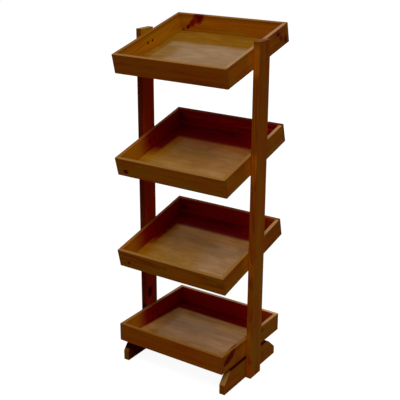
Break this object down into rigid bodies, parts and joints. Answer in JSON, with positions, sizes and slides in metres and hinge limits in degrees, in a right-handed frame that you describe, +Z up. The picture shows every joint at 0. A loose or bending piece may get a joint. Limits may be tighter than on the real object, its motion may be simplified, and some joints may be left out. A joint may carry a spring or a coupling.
{
  "type": "grocery display stand",
  "caption": "Free-standing wooden display stand with shallow board trays, sloped towards the front, between upright posts on board feet.",
  "frame": {"origin": "on the floor, under the middle of the trays", "axes": "+Z up, +X to the right seen from the front, -Y towards the front"},
  "size_m": [0.494, 0.407, 1.2616],
  "materials": {
    "post_pine": "satin stain",
    "tray_pine": "satin stain",
    "base_plywood": "satin varnish",
    "screw_steel": "dull",
    "pin_steel": "plain"
  },
  "bodies": {
    "root": {"post_left": "post_pine", "post_right": "post_pine", "foot_left": "post_pine", "foot_right": "post_pine", "foot_left_screws": "screw_steel", "foot_right_screws": "screw_steel", "top_tray_front": "tray_pine", "top_tray_back": "tray_pine", "top_tray_left": "tray_pine", "top_tray_right": "tray_pine", "top_tray_base": "base_plywood", "top_tray_post_screws": "screw_steel", "top_tray_corner_pins": "pin_steel", "top_tray_base_pins": "pin_steel", "second_tray_front": "tray_pine", "second_tray_back": "tray_pine", "second_tray_left": "tray_pine", "second_tray_right": "tray_pine", "second_tray_base": "base_plywood", "second_tray_post_screws": "screw_steel", "second_tray_corner_pins": "pin_steel", "second_tray_base_pins": "pin_steel", "third_tray_front": "tray_pine", "third_tray_back": "tray_pine", "third_tray_left": "tray_pine", "third_tray_right": "tray_pine", "third_tray_base": "base_plywood", "third_tray_post_screws": "screw_steel", "third_tray_corner_pins": "pin_steel", "third_tray_base_pins": "pin_steel", "bottom_tray_front": "tray_pine", "bottom_tray_back": "tray_pine", "bottom_tray_left": "tray_pine", "bottom_tray_right": "tray_pine", "bottom_tray_base": "base_plywood", "bottom_tray_post_screws": "screw_steel", "bottom_tray_corner_pins": "pin_steel", "bottom_tray_base_pins": "pin_steel"}
  },
  "joints": []
}
